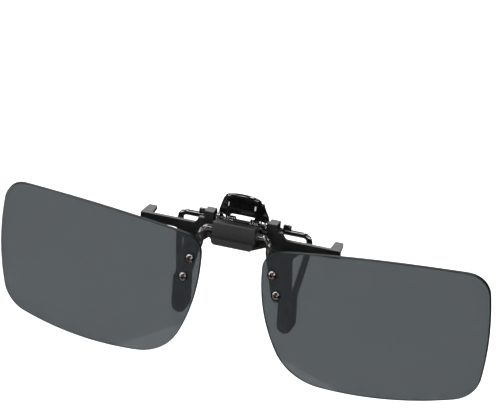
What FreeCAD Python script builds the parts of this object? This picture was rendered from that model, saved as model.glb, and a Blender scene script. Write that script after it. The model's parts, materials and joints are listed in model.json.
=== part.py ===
import FreeCAD, Part
import math
import os
import re
import Sketcher
from FreeCAD import Placement, Rotation, Vector

# Clip-on flip-up sunglasses: a spring clamp that grips a pair of spectacles, and a lens
# carrier that flips up in a detent box on the clamp's front.
# +X is to the wearer's left as seen from the front, the front faces -Y, and +Z is up.
# The origin is on the symmetry plane, level with the undersides of the rim-rest tabs, at the
# rear face of the front pads' tips.

doc = FreeCAD.newDocument("ClipOnSunglasses")
dims = doc.addObject("Spreadsheet::Sheet", "Dims")

DIMENSIONS = """
lens_radius 128.3        | front surface of both lenses is a sphere
lens_centre_x 13.4       | centre of that sphere, mirrored for the other lens
lens_centre_y 122.9      |
lens_centre_z -16        |
lens_thick 1.1           |
lens_blank_front -12     | depth over which the lens outline is padded
lens_blank_back 12       |
lens_inner_x 8.54        | corners of the lens outline, before rounding
lens_outer_x 65.2        |
lens_top_z -0.6          |
lens_foot_inner_x 17.43  |
lens_foot_outer_x 63.81  |
lens_foot_z -35.6        |
lens_top_arc 170         | radii of the four bowed edges of a lens
lens_outer_arc 80        |
lens_foot_arc 125        |
lens_inner_arc 52        |
lens_top_inner_round 5.2 | radii of the four rounded corners of a lens
lens_top_outer_round 7   |
lens_foot_outer_round 7.4 |
lens_foot_inner_round 15 |
flip_y -2.4              | axis on which the lenses flip up
flip_z 2.2               |
wire_r 0.8               | bracket wire
wire_play 0.05           | running clearance of the wire in the box
wire_start 0.2           | the wires end this far from the symmetry plane
wire_turn_x 8.0          | the wire bends down off the flip axis here
wire_dip_x 9.4           | and straightens here, behind the lens
wire_dip_y -3.3          |
wire_dip_z 0.4           |
wire_end_x 9.9          |
wire_end_y -2.9          |
wire_end_z -2.9          |
wire_turn_bend 1.5       |
wire_dip_bend 2.0        |
bracket_thick 0.8        |
plate_foot_in_x 11.4     | corners of the plate behind the lens
plate_foot_in_z -14.6    |
plate_foot_out_x 14.9    |
plate_foot_out_z -13.9   |
plate_top_out_x 11.7     |
plate_top_out_z -1.4     |
plate_top_in_x 8.7       |
plate_top_in_z -1.7      |
plate_outer_arc 40       |
plate_foot_round 1.5     |
plate_top_round 1.1      |
plate_blank_front -8     | depth over which the plate outline is padded
cam_flat 2.2             | across the flats of the square cam
cam_half 3.6             | half the length of the cam
box_half 5.7             | hinge box, half its length
box_front -4.5           |
box_back -0.3            |
box_top 5.16             | top of the box's front, from where its roof falls
box_back_top 4.1         | to this at the back
box_foot 0.3             |
box_wall 0.45            |
box_play 0.05            | gap between the box's front and the lip
leaf_thick 0.25          | detent leaf spring
leaf_half 3.6            |
leaf_half_depth 1.2      |
leaf_play 0.02           |
rivet_x 3                | rivets that hold the base to the front jaw
rivet_z -0.45            |
rivet_r 0.5              |
rivet_head_r 0.9         |
rivet_head_high 0.4      |
rivet_front -2.5         |
over 1                   | tools run this far past the faces they cut
lap 0.1                  | overlap of pieces that are joined
middle_half 6            | middle of the front jaw, behind the box
middle_top 3.2           |
bridge_top 2.6           | between the middle and a knuckle
lip_front -5.6           | lip of the box base
lip_top 0.8              |
lip_foot -1.2            |
lip_half 5.6             |
lip_foot_half 4.9        |
wing_half 8.4            | the base widens to this behind the box
wing_thick 0.7           |
lip_chamfer 0.5          |
lip_corner 1             | height of the cut corners at the lip's foot
pivot_y 2.6              | pin on which the rear jaw turns
pivot_z 2.8              |
pin_r 0.6                |
pin_play 0.04            | running clearance of the ears on the pin
pin_proud 0.15           |
knuckle_in 7.4           | front jaw knuckle
knuckle_out 9.8          |
knuckle_top 4.75         | flat top of a folded knuckle
knuckle_back 4.3         |
knuckle_round 0.6        |
knuckle_slant 0.9        | cut corner under the fold
shoulder_out 12.4        | the jaw stands higher beside a knuckle
shoulder_step 11.7       |
shoulder_step_z 1.6      |
shoulder_top_out 11.3    |
shoulder_top 2.7         |
steel 1.0                | thickness of the pressed jaws
web_back 1.0             | rear face of the front jaw's middle
web_top 2.1              | top of the rear jaw's web
arm_front 0.95           | front face of the front jaw's arms
arm_top 0.9              |
arm_end 27               | half the width across the arms
arm_foot -1.15           | lower edge of an arm at its end
tab_in 24.1              |
tab_back 6.05            |
skirt_x 6.2              | lower edge of the front jaw from the lip to a leg
skirt_z -2.2             |
crotch_x 8.3             |
crotch_z -2.5            |
leg_top_in_z -4.6        |
leg_top_out_z -3.8       |
gusset_x 17.1            | lower edge of an arm where it widens into the leg
gusset_z -1.5            |
leg_round 2              | rounding where a leg meets the arm
leg_foot_round 0.9       |
jaw_blank_front -6       | depth over which the jaw outlines are padded
jaw_blank_back 12        |
tab_taper 0.65           | a tab narrows by this to its rear edge
tab_round 0.3            |
leg_bend_z -2            | a front leg slopes forward from here
leg_knee_z -12           | and hangs straight from here
leg_top_in 10.9          |
leg_top_out 14.5         |
leg_half 1.45            | half the width of a leg inside its pad
rear_leg_x 15.4          | rear leg where it enters its pad
leg_tip_x 14.3           | centre of a pad
leg_tip_z -23.9          |
pad_r 2.1                | half the width of a pad
pad_wall 0.65            | rubber on each face of a leg
pad_length 10.5          |
pad_foot_round 2.05      |
pad_top_round 0.8        |
jaw_gap 0.35             | gap between the front and rear pads at rest
ear_in 5.9               | rear jaw ear
ear_out 6.9              |
ear_r 1.4                |
ear_neck 0.4             | the ear's arm starts this far in front of the pin's axis
tongue_in 5.7            | upright inside each side of the thumb grip
tongue_out 6.3           |
tongue_top 5.2           |
tongue_front 3.0         |
tongue_back 3.6          |
rod_front 4.62           | rear jaw rods
rod_back 5.72            |
rod_foot 0.4             |
rod_top 2.1              |
rod_round 1.5            |
rod_end 18.3             |
rear_leg_wide 1.7        |
rear_leg_top_z -3        | a rear leg turns inwards below here
rear_leg_lean 0.1        |
rear_leg_in 0.4          | half widths of a rear leg where it enters its pad
rear_leg_out 1.3         |
rear_knee_z -13          | and straightens again here, along its pad
web_foot 0.2             | foot of the rear jaw's web
stop_thick 0.7           |
stop_in 10.3             | small upstand on each rod
stop_out 12.5            |
stop_top 3.4             |
grip_crease 3.64         | thumb grip, half the width of its middle face
grip_front 1.2           |
grip_foot_z 3.6          |
grip_foot 6.9            | half its width at the ears
grip_top 11.1            | top of the arched rim
grip_thick 0.9           |
grip_wing_back 2.28      | each side face runs back by this much at its foot
grip_overlap 0.2         | the middle face runs this far past the creases
grip_ledge_front 2.9     | scooped lower edge of the middle face
grip_ledge_front_z 4.4   |
grip_ledge_back 3.9      |
grip_ledge_back_z 4.6    |
grip_bend_z 7.4          | the middle face turns upright here
grip_bend_back_z 7.6     |
grip_lean 0.3            | and leans back by this much at its top
grip_foot_in 5.7         | inner edge of the grip's feet
grip_arch_x 4.9          | opening between the feet
grip_arch_z 4.9          |
grip_scoop_x 3.1         |
grip_scoop_z 4.55        |
grip_shoulder_x 5.55     | upper corners
grip_shoulder_z 9.2      |
grip_rim_x 4.85          |
grip_rim_z 10.56         |
grip_rim_arc 25          |
grip_rim_round 0.8       |
grip_blank_front -2      | depth over which the grip's outline is padded
grip_blank_back 8        |
coil_mid 3.27            | torsion springs, centre of a coil
coil_pitch 0.62          |
coil_turns 4             |
coil_gap 0.05            | the ends stop this far short of the jaws
coil_wire_r 0.25         |
coil_mean_r 1.05         |
screw_head_r 1.15        |
screw_head_high 0.65     |
screw_shank_r 0.6        |
washer_r 1.3             |
washer_thick 0.25        |
nut_r 1.25               |
nut_thick 0.8            |
nut_gap 0.03             | clearance under a nut, on the curved plate
screw_end 0.3            | the screws stand past the nuts
upper_screw_x 11.14      |
upper_screw_z -6.45      |
lower_screw_x 12.61      |
lower_screw_z -11.84     |
"""

for line_number, line in enumerate(DIMENSIONS.strip().splitlines(), start=1):
    entry, remark = line.split("|")
    alias, value = entry.split()
    dims.set(f"A{line_number}", alias)
    dims.set(f"B{line_number}", value)
    dims.setAlias(f"B{line_number}", alias)
    dims.set(f"C{line_number}", remark.strip())
doc.recompute()

SYMMETRY_NORMAL = Vector(1, 0, 0)
PLANE_NORMALS = {"XY_Plane": Vector(0, 0, 1), "XZ_Plane": Vector(0, 1, 0), "YZ_Plane": Vector(1, 0, 0)}
PLANE_AXES = {"XY_Plane": "xy", "XZ_Plane": "xz", "YZ_Plane": "yz"}
TURN_TO = {
    "X": Rotation(Vector(0, 1, 0), 90),
    "Y": Rotation(Vector(1, 0, 0), -90),
    "Z": Rotation(),
}
nodes = {}


def size(formula):
    """Value of a formula over the sheet's aliases."""
    return float(dims.evalExpression(str(formula)))


def spot_at(x, y, z):
    """Point at three formulas over the sheet's aliases."""
    return Vector(size(x), size(y), size(z))


def bind(item, prop, formula):
    """Drive a property by a formula over the sheet's aliases."""
    item.setExpression(prop, re.sub(r"\b[a-z]\w*", lambda word: "Dims." + word.group(), str(formula)))


def node(name, item):
    """Name a finished sub-part."""
    item.Label = name
    nodes[name] = item
    return item


def block(name, x, y, z):
    """Block between a low and a high formula on each axis."""
    item = doc.addObject("Part::Box", name)
    for side, axis, (low, high) in zip(("Length", "Width", "Height"), "xyz", (x, y, z)):
        bind(item, side, f"({high}) - ({low})")
        bind(item, f"Placement.Base.{axis}", low)
    return item


def rod(name, axis, radius, low, high, across):
    """Round bar along an axis from low to high; across holds its other two coordinates."""
    item = doc.addObject("Part::Cylinder", name)
    item.Placement = Placement(Vector(), TURN_TO[axis])
    bind(item, "Radius", radius)
    bind(item, "Height", f"({high}) - ({low})")
    bind(item, f"Placement.Base.{axis.lower()}", low)
    for other, formula in zip("xyz".replace(axis.lower(), ""), across):
        bind(item, f"Placement.Base.{other}", formula)
    return item


def fuse(name, *items):
    joined = doc.addObject("Part::MultiFuse", name)
    joined.Shapes = list(items)
    joined.Refine = True
    return joined


def common(name, *items):
    shared = doc.addObject("Part::MultiCommon", name)
    shared.Shapes = list(items)
    return shared


def cut(name, base, *tools):
    """Base with each tool taken away."""
    result = doc.addObject("Part::Cut", name)
    result.Base = base
    result.Tool = tools[0] if len(tools) == 1 else fuse(name + "_tools", *tools)
    return result


def mirrored(name, source):
    """Copy of a piece on the other side of the symmetry plane."""
    twin = doc.addObject("Part::Mirroring", name)
    twin.Source = source
    twin.Normal = SYMMETRY_NORMAL
    return twin


def arc_middle(start, end, radius):
    """Point halfway along the arc that bows to the right of the way from start to end."""
    chord = end - start
    middle = (start + end) * 0.5
    outward = Vector(chord.y, -chord.x, 0).normalize()
    sagitta = radius - math.sqrt(radius ** 2 - (chord.Length / 2) ** 2)
    return middle + outward * sagitta


def prism(name, plane, low, high, corners, arcs=None, rounds=None):
    """Outline on a plane, padded from low to high along the plane's axis.

    corners: pairs of formulas, anticlockwise as the sketch is drawn.
    arcs: radius formula of an edge that bows outwards, by the number of its first corner.
    rounds: corner numbers by the radius formula that rounds them.
    """
    arcs = arcs or {}
    rounds = rounds or {}
    body = doc.addObject("PartDesign::Body", name)
    origin_plane = next(item for item in body.Origin.OriginFeatures if item.Role == plane)
    sketch = body.newObject("Sketcher::SketchObject", name + "_sketch")
    sketch.AttachmentSupport = (origin_plane, [""])
    sketch.MapMode = "FlatFace"
    bind(sketch, "AttachmentOffset.Base.z", f"-({high})" if plane == "XZ_Plane" else low)
    points = [Vector(size(across), size(up), 0) for across, up in corners]
    for number, (start, end) in enumerate(zip(points, points[1:] + points[:1])):
        if number in arcs:
            middle = arc_middle(start, end, size(arcs[number]))
            sketch.addGeometry(Part.Arc(start, middle, end), False)
        else:
            sketch.addGeometry(Part.LineSegment(start, end), False)
    for number in range(len(corners)):
        following = (number + 1) % len(corners)
        sketch.addConstraint(Sketcher.Constraint("Coincident", number, 2, following, 1))
    for number, formulas in enumerate(corners):
        for direction, formula, value in zip(("DistanceX", "DistanceY"), formulas, points[number]):
            row = sketch.addConstraint(Sketcher.Constraint(direction, -1, 1, number, 1, value))
            bind(sketch, f"Constraints[{row}]", formula)
    for number, formula in arcs.items():
        row = sketch.addConstraint(Sketcher.Constraint("Radius", number, size(formula)))
        bind(sketch, f"Constraints[{row}]", formula)
    pad = body.newObject("PartDesign::Pad", name + "_pad")
    pad.Profile = sketch
    bind(pad, "Length", f"({high}) - ({low})")
    doc.recompute()
    for formula, numbers in rounds.items():
        round_corners(body, plane, [points[number] for number in numbers], formula)
    return body


def round_corners(body, plane, points, radius):
    """Round the edges of a padded outline that pass through the given sketch points."""
    base = body.Tip
    first, second = PLANE_AXES[plane]
    names = []
    for number, edge in enumerate(base.Shape.Edges, start=1):
        middle = edge.CenterOfMass
        spot = Vector(getattr(middle, first), getattr(middle, second), 0)
        along = edge.Vertexes[-1].Point - edge.Vertexes[0].Point
        if along.cross(PLANE_NORMALS[plane]).Length > 1e-6 or along.Length < 1e-6:
            continue
        if any(spot.distanceToPoint(point) < 1e-3 for point in points):
            names.append(f"Edge{number}")
    fillet = body.newObject("PartDesign::Fillet", base.Name + "_round")
    fillet.Base = (base, names)
    bind(fillet, "Radius", radius)
    doc.recompute()


def pipe(name, points, bends, radius):
    """Round wire along straight runs; bends holds the radius at each inner point."""
    path = []
    start = points[0]
    for before, corner, after, bend in zip(points, points[1:], points[2:], bends):
        inward = (before - corner).normalize()
        onward = (after - corner).normalize()
        half_angle = inward.getAngle(onward) / 2
        reach = bend / math.tan(half_angle)
        bisector = (inward + onward).normalize()
        middle = corner + bisector * (bend / math.sin(half_angle) - bend)
        path.append(Part.LineSegment(start, corner + inward * reach).toShape())
        path.append(Part.Arc(corner + inward * reach, middle, corner + onward * reach).toShape())
        start = corner + onward * reach
    path.append(Part.LineSegment(start, points[-1]).toShape())
    ring = Part.Wire(Part.makeCircle(radius, points[0], points[1] - points[0]))
    item = doc.addObject("Part::Feature", name)
    item.Shape = Part.Wire(path).makePipeShell([ring], True, True)
    return item


# ---- lens carrier -------------------------------------------------------------------------

def lens_shell(name, front_depth, back_depth):
    """Spherical skin between two depths behind the lens's front surface."""
    skins = []
    for side, depth in (("front", front_depth), ("back", back_depth)):
        ball = doc.addObject("Part::Sphere", f"{name}_{side}")
        bind(ball, "Radius", f"lens_radius - ({depth})")
        for axis in "xyz":
            bind(ball, f"Placement.Base.{axis}", f"lens_centre_{axis}")
        skins.append(ball)
    return cut(name, *skins)


def lens_normal(x, z):
    """Point of the lens's front surface at x and z, and the direction out of its back."""
    centre = spot_at("lens_centre_x", "lens_centre_y", "lens_centre_z")
    radius = size("lens_radius")
    depth = math.sqrt(radius ** 2 - (x - centre.x) ** 2 - (z - centre.z) ** 2)
    point = Vector(x, centre.y - depth, z)
    return point, (centre - point).normalize()


def on_lens(name, radius, front, back, spot):
    """Disc or bar square to the lens at a screw, between two depths behind its front."""
    point, backward = lens_normal(size(f"{spot}_screw_x"), size(f"{spot}_screw_z"))
    item = doc.addObject("Part::Cylinder", name)
    bind(item, "Radius", radius)
    bind(item, "Height", f"({back}) - ({front})")
    item.Placement = Placement(point + backward * size(front), Rotation(Vector(0, 0, 1), backward))
    return item


def domed_head(name, spot):
    """Screw head: the part of a ball that stands in front of the washer."""
    point, backward = lens_normal(size(f"{spot}_screw_x"), size(f"{spot}_screw_z"))
    high = size("screw_head_high")
    head_r = size("screw_head_r")
    ball_r = (head_r ** 2 + high ** 2) / (2 * high)
    ball = doc.addObject("Part::Sphere", name + "_ball")
    bind(ball, "Radius", "(screw_head_r ^ 2 + screw_head_high ^ 2) / (2 * screw_head_high)")
    ball.Placement = Placement(point + backward * (ball_r - high - size("washer_thick")), Rotation())
    return common(name, ball, on_lens(name + "_disc", "screw_head_r", "-washer_thick - screw_head_high",
                                      "-washer_thick", spot))


SPOTS = ("upper", "lower")
bracket_back = "lens_thick + bracket_thick"
nut_front = f"{bracket_back} + nut_gap"
screw_back = f"{nut_front} + nut_thick + screw_end"

lens_outline = prism(
    "lens_outline", "XZ_Plane", "lens_blank_front", "lens_blank_back",
    [("lens_foot_inner_x", "lens_foot_z"), ("lens_foot_outer_x", "lens_foot_z"),
     ("lens_outer_x", "lens_top_z"), ("lens_inner_x", "lens_top_z")],
    arcs={0: "lens_foot_arc", 1: "lens_outer_arc", 2: "lens_top_arc", 3: "lens_inner_arc"},
    rounds={"lens_foot_inner_round": [0], "lens_foot_outer_round": [1],
            "lens_top_outer_round": [2], "lens_top_inner_round": [3]})
lens_holes = [on_lens(f"{spot}_lens_hole", "screw_shank_r", "-over", "lens_thick + over", spot)
              for spot in SPOTS]
lens_blank = common("lens_blank", lens_outline, lens_shell("lens_skin", "0", "lens_thick"))
right_lens = cut("lens", lens_blank, *lens_holes)

plate_outline = prism(
    "plate_outline", "XZ_Plane", "plate_blank_front", "0",
    [("plate_foot_in_x", "plate_foot_in_z"), ("plate_foot_out_x", "plate_foot_out_z"),
     ("plate_top_out_x", "plate_top_out_z"), ("plate_top_in_x", "plate_top_in_z")],
    arcs={1: "plate_outer_arc"}, rounds={"plate_foot_round": [0, 1], "plate_top_round": [2, 3]})
plate = common("plate", plate_outline, lens_shell("plate_skin", "lens_thick", bracket_back))
wire = pipe("bracket_wire",
            [spot_at("wire_start", "flip_y", "flip_z"), spot_at("wire_turn_x", "flip_y", "flip_z"),
             spot_at("wire_dip_x", "wire_dip_y", "wire_dip_z"),
             spot_at("wire_end_x", "wire_end_y", "wire_end_z")],
            [size("wire_turn_bend"), size("wire_dip_bend")], size("wire_r"))
right_bracket = cut("bracket", fuse("bracket_blank", plate, cut("wire_flattened", wire, lens_blank)),
                    *[on_lens(f"{spot}_plate_hole", "screw_shank_r", "0", f"{bracket_back} + over", spot)
                      for spot in SPOTS])

screws = []
washers = []
nuts = []
for spot in SPOTS:
    shank = on_lens(f"{spot}_shank", "screw_shank_r", "-washer_thick", screw_back, spot)
    screws.append(fuse(f"{spot}_screw", domed_head(f"{spot}_head", spot), shank))
    washer_disc = on_lens(f"{spot}_washer_disc", "washer_r", "-washer_thick", "0", spot)
    washer_hole = on_lens(f"{spot}_washer_hole", "screw_shank_r", "-over", "over", spot)
    washers.append(cut(f"{spot}_washer", washer_disc, washer_hole))
    hexagon = doc.addObject("Part::Prism", f"{spot}_hexagon")
    hexagon.Polygon = 6
    bind(hexagon, "Circumradius", "nut_r")
    bind(hexagon, "Height", "nut_thick")
    point, backward = lens_normal(size(f"{spot}_screw_x"), size(f"{spot}_screw_z"))
    hexagon.Placement = Placement(point + backward * size(nut_front), Rotation(Vector(0, 0, 1), backward))
    nut_hole = on_lens(f"{spot}_nut_hole", "screw_shank_r", "0", f"{screw_back} + over", spot)
    nuts.append(cut(f"{spot}_nut", hexagon, nut_hole))


def group(name, items):
    bundle = doc.addObject("Part::Compound", name)
    bundle.Links = items
    return bundle


right_side = {
    "lens": right_lens,
    "bracket": right_bracket,
    "lens_screws": group("screw_pair", screws),
    "lens_washers": group("washer_pair", washers),
    "lens_nuts": group("nut_pair", nuts),
}
for name, item in right_side.items():
    node(f"right_{name}", item)
    node(f"left_{name}", mirrored(f"{name}_twin", item))

cam_block = block("cam_block", ("-cam_half", "cam_half"), ("flip_y - cam_flat / 2", "flip_y + cam_flat / 2"),
                  ("flip_z - cam_flat / 2", "flip_z + cam_flat / 2"))
cam_bore = rod("cam_bore", "X", "wire_r", "-cam_half - over", "cam_half + over", ("flip_y", "flip_z"))
node("flip_cam", cut("cam", cam_block, cam_bore))

# ---- hinge box, its base and the detent spring ----------------------------------------------

inner_half = "box_half - box_wall"
box_outer = prism(
    "box_outer", "YZ_Plane", "-box_half", "box_half",
    [("box_front", "box_foot"), ("box_back", "box_foot"),
     ("box_back", "box_back_top"), ("box_front", "box_top")])
box_inner = prism(
    "box_inner", "YZ_Plane", f"-({inner_half})", inner_half,
    [("box_front + box_wall", "box_foot - over"), ("box_back - box_wall", "box_foot - over"),
     ("box_back - box_wall", "box_back_top - box_wall"), ("box_front + box_wall", "box_top - box_wall")])
axle_hole = rod("axle_hole", "X", "wire_r + wire_play", "-box_half - over", "box_half + over",
                ("flip_y", "flip_z"))
node("hinge_box", cut("box", box_outer, box_inner, axle_hole))

base_back = "box_back - box_play"
base_profile = prism(
    "base_profile", "YZ_Plane", "-lip_half", "lip_half",
    [("lip_front + lip_chamfer", "lip_foot"), (base_back, "lip_foot"), (base_back, "box_foot"),
     ("box_front - box_play", "box_foot"), ("box_front - box_play", "lip_top"), ("lip_front", "lip_top"),
     ("lip_front", "lip_foot + lip_chamfer")])
lip_front_view = prism(
    "lip_front_view", "XZ_Plane", "lip_front - over", "box_back + over",
    [("-lip_foot_half", "lip_foot"), ("lip_foot_half", "lip_foot"), ("lip_half", "lip_foot + lip_corner"),
     ("lip_half", "lip_top + over"), ("-lip_half", "lip_top + over"), ("-lip_half", "lip_foot + lip_corner")])


def rivet_bars(name, radius, low, high):
    return [rod(f"{name}_{side}", "Y", radius, low, high, (f"{side} * rivet_x", "rivet_z"))
            for side in (-1, 1)]


arm_back = "arm_front + steel"
base_blank = common("base_blank", base_profile, lip_front_view)
base_wings = prism(
    "base_wings", "XY_Plane", "lip_foot", "lip_foot + wing_thick",
    [("-lip_foot_half", "box_front"), ("lip_foot_half", "box_front"), ("wing_half", base_back),
     ("-wing_half", base_back)])
node("box_base", cut("base", fuse("base_winged", base_blank, base_wings),
                     *rivet_bars("base_hole", "rivet_r", "rivet_front", "0")))

leaf_top = "flip_z - cam_flat / 2 - leaf_play"
leaf_depth = ("flip_y - leaf_half_depth", "flip_y + leaf_half_depth")
leaf_strip = block("leaf_strip", ("-leaf_half", "leaf_half"), leaf_depth,
                   (f"{leaf_top} - leaf_thick", leaf_top))
leaf_feet = [block(f"leaf_foot_{label}", (low, f"{low} + leaf_thick"), leaf_depth,
                   ("box_foot", f"{leaf_top} - leaf_thick / 2"))
             for label, low in (("left", "-leaf_half"), ("right", "leaf_half - leaf_thick"))]
node("detent_spring", fuse("leaf", leaf_strip, *leaf_feet))

# ---- front jaw --------------------------------------------------------------------------------

pad_top = "leg_tip_z + pad_length"
leg_foot = "leg_tip_z + pad_wall"
front_view = prism(
    "front_jaw_view", "XZ_Plane", "jaw_blank_front", "jaw_blank_back",
    [("0", "lip_foot"), ("skirt_x", "skirt_z"), ("crotch_x", "crotch_z"), ("leg_top_in", "leg_top_in_z"),
     ("leg_tip_x - leg_half", pad_top), ("leg_tip_x - leg_half", leg_foot),
     ("leg_tip_x + leg_half", leg_foot), ("leg_tip_x + leg_half", pad_top),
     ("leg_top_out", "leg_top_out_z"), ("gusset_x", "gusset_z"),
     ("arm_end", "arm_foot"), ("arm_end", "arm_top"), ("0", "arm_top")],
    rounds={"leg_round": [3, 8, 9], "leg_foot_round": [5, 6]})
front_side_view = prism(
    "front_jaw_side_view", "YZ_Plane", "-over", "arm_end + over",
    [("-pad_wall - steel", leg_foot), ("-pad_wall", leg_foot), ("-pad_wall", "leg_knee_z"),
     (arm_back, "leg_bend_z"), (arm_back, "arm_top"), ("arm_front", "arm_top"), ("arm_front", "leg_bend_z"),
     ("-pad_wall - steel", "leg_knee_z")])
front_half = common("front_jaw_half", front_view, front_side_view)
rest_tab = prism(
    "rest_tab", "XY_Plane", "0", "arm_top",
    [("tab_in", "arm_front + steel / 2"), ("arm_end", "arm_front + steel / 2"),
     ("arm_end - tab_taper", "tab_back"), ("tab_in", "tab_back")],
    rounds={"tab_round": [2, 3]})
knuckle = prism(
    "knuckle", "YZ_Plane", "knuckle_in", "knuckle_out",
    [("arm_front", "arm_top - lap"), ("knuckle_back - knuckle_slant", "arm_top - lap"),
     ("knuckle_back", "arm_top - lap + knuckle_slant"), ("knuckle_back", "knuckle_top"),
     ("arm_front", "knuckle_top")],
    rounds={"knuckle_round": [3]})
shoulder = prism(
    "shoulder", "XZ_Plane", "arm_front", arm_back,
    [("knuckle_out - lap", "arm_top - lap"), ("shoulder_out", "arm_top - lap"),
     ("shoulder_step", "shoulder_step_z"), ("shoulder_top_out", "shoulder_top"),
     ("knuckle_out - lap", "shoulder_top")])
jaw_right = fuse("front_jaw_right", front_half, rest_tab, knuckle, shoulder)
jaw_middle = block("jaw_middle", ("-middle_half", "middle_half"), ("box_back", "web_back"),
                   ("lip_foot", "middle_top"))
jaw_bridge = block("jaw_bridge", ("-knuckle_in - lap", "knuckle_in + lap"), ("box_back", "web_back"),
                   ("arm_top - lap", "bridge_top"))
pin_hole = rod("pin_hole", "X", "pin_r", "-knuckle_out - over", "knuckle_out + over", ("pivot_y", "pivot_z"))
front_jaw_blank = fuse("front_jaw_blank", jaw_right, mirrored("front_jaw_left", jaw_right), jaw_middle,
                       jaw_bridge)
rivet_holes = rivet_bars("jaw_hole", "rivet_r", "box_back - over", f"{arm_back} + over")
node("front_jaw", cut("front_jaw_drilled", front_jaw_blank, pin_hole, *rivet_holes))
rivet_shanks = rivet_bars("rivet_shank", "rivet_r", "rivet_front", arm_back)
rivet_heads = rivet_bars("rivet_head", "rivet_head_r", arm_back, f"{arm_back} + rivet_head_high")
node("box_rivets", group("rivet_pair", [fuse(f"rivet_{side}", shank, head)
                                        for side, shank, head in zip(("left", "right"), rivet_shanks,
                                                                     rivet_heads)]))
node("pivot_pin", rod("pin", "X", "pin_r", "-knuckle_out - pin_proud", "knuckle_out + pin_proud",
                      ("pivot_y", "pivot_z")))


def pad_sleeve(name, front, back, leg):
    """Rounded rubber slab with a pocket for the end of a leg."""
    slab = prism(
        name + "_slab", "XZ_Plane", front, back,
        [("leg_tip_x - pad_r", "leg_tip_z"), ("leg_tip_x + pad_r", "leg_tip_z"),
         ("leg_tip_x + pad_r", pad_top), ("leg_tip_x - pad_r", pad_top)],
        rounds={"pad_foot_round": [0, 1], "pad_top_round": [2, 3]})
    return cut(name, slab, leg)


front_pad = pad_sleeve("front_pad", "-2 * pad_wall - steel", "0", front_half)
node("right_front_pad", front_pad)
node("left_front_pad", mirrored("front_pad_twin", front_pad))

# ---- rear jaw and thumb grip --------------------------------------------------------------------

rear_leg_front = "jaw_gap + pad_wall"
rear_leg_back = f"{rear_leg_front} + steel"
rear_view = prism(
    "rear_jaw_view", "XZ_Plane", "jaw_blank_front", "jaw_blank_back",
    [("leg_tip_x - leg_half", leg_foot), ("leg_tip_x + leg_half", leg_foot),
     ("rear_leg_x + rear_leg_out", pad_top), ("rod_end - rear_leg_lean", "rear_leg_top_z"),
     ("rod_end", "rod_top"), ("rod_end - rear_leg_wide", "rod_top"),
     ("rod_end - rear_leg_wide - rear_leg_lean", "rear_leg_top_z"), ("rear_leg_x - rear_leg_in", pad_top)],
    rounds={"leg_foot_round": [0, 1], "rod_round": [4]})
rear_side_view = prism(
    "rear_jaw_side_view", "YZ_Plane", "leg_tip_x - pad_length", "rod_end + over",
    [(rear_leg_front, leg_foot), (rear_leg_back, leg_foot), (rear_leg_back, "rear_knee_z"),
     ("rod_back", "leg_bend_z"), ("rod_back", "rod_top"), ("rod_front", "rod_top"),
     ("rod_front", "leg_bend_z"), (rear_leg_front, "rear_knee_z")])
rear_leg = common("rear_leg", rear_view, rear_side_view)
rear_rod = prism(
    "rear_rod", "XZ_Plane", "rod_front", "rod_back",
    [("ear_in", "rod_foot"), ("rod_end", "rod_foot"), ("rod_end", "rod_top"), ("ear_in", "rod_top")],
    rounds={"rod_round": [2]})
rod_stop = block("rod_stop", ("stop_in", "stop_out"), ("rod_front", "rod_front + stop_thick"),
                 ("rod_top - lap", "stop_top"))
ear_disc = rod("ear_disc", "X", "ear_r", "ear_in", "ear_out", ("pivot_y", "pivot_z"))
ear_link = prism(
    "ear_link", "YZ_Plane", "ear_in", "ear_out",
    [("pivot_y - ear_neck", "pivot_z - ear_r + lap"), ("rod_back", "rod_foot"), ("rod_back", "rod_top"),
     ("pivot_y + ear_r", "grip_foot_z"), ("pivot_y", "grip_foot_z")])
tongue = block("tongue", ("tongue_in", "tongue_out"), ("tongue_front", "tongue_back"),
               ("pivot_z", "tongue_top"))
rear_right = fuse("rear_jaw_right", rear_leg, rear_rod, rod_stop, ear_disc, ear_link, tongue)
rear_web = block("rear_web", ("-ear_out", "ear_out"), ("rod_front", "rod_back"), ("web_foot", "web_top"))
ear_hole = rod("ear_hole", "X", "pin_r + pin_play", "-knuckle_out", "knuckle_out", ("pivot_y", "pivot_z"))
rear_jaw_blank = fuse("rear_jaw_blank", rear_right, mirrored("rear_jaw_left", rear_right), rear_web)
rear_jaw = cut("rear_jaw_drilled", rear_jaw_blank, ear_hole)
node("rear_jaw", rear_jaw)
rear_pad = pad_sleeve("rear_pad", "jaw_gap", "jaw_gap + 2 * pad_wall + steel", rear_leg)
node("right_rear_pad", rear_pad)
node("left_rear_pad", mirrored("rear_pad_twin", rear_pad))

grip_middle = prism(
    "grip_middle", "YZ_Plane", "-grip_crease - grip_overlap", "grip_crease + grip_overlap",
    [("grip_ledge_front", "grip_ledge_front_z"), ("grip_ledge_back", "grip_ledge_back_z"),
     ("grip_front + grip_thick", "grip_bend_back_z"), ("grip_front + grip_thick + grip_lean", "grip_top"),
     ("grip_front + grip_lean", "grip_top"), ("grip_front", "grip_bend_z")])
grip_side = prism(
    "grip_side", "XY_Plane", "grip_foot_z", "grip_top",
    [("grip_crease", "grip_front"), ("grip_foot", "grip_front + grip_wing_back"),
     ("grip_foot", "grip_front + grip_thick + grip_wing_back"), ("grip_crease", "grip_front + grip_thick")])
grip_view = prism(
    "grip_view", "XZ_Plane", "grip_blank_front", "grip_blank_back",
    [("-grip_foot", "grip_foot_z"), ("-grip_foot_in", "grip_foot_z"), ("-grip_arch_x", "grip_arch_z"),
     ("-grip_scoop_x", "grip_scoop_z"), ("grip_scoop_x", "grip_scoop_z"), ("grip_arch_x", "grip_arch_z"),
     ("grip_foot_in", "grip_foot_z"), ("grip_foot", "grip_foot_z"), ("grip_shoulder_x", "grip_shoulder_z"),
     ("grip_rim_x", "grip_rim_z"), ("-grip_rim_x", "grip_rim_z"), ("-grip_shoulder_x", "grip_shoulder_z")],
    arcs={9: "grip_rim_arc"}, rounds={"grip_rim_round": [9, 10]})
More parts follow.
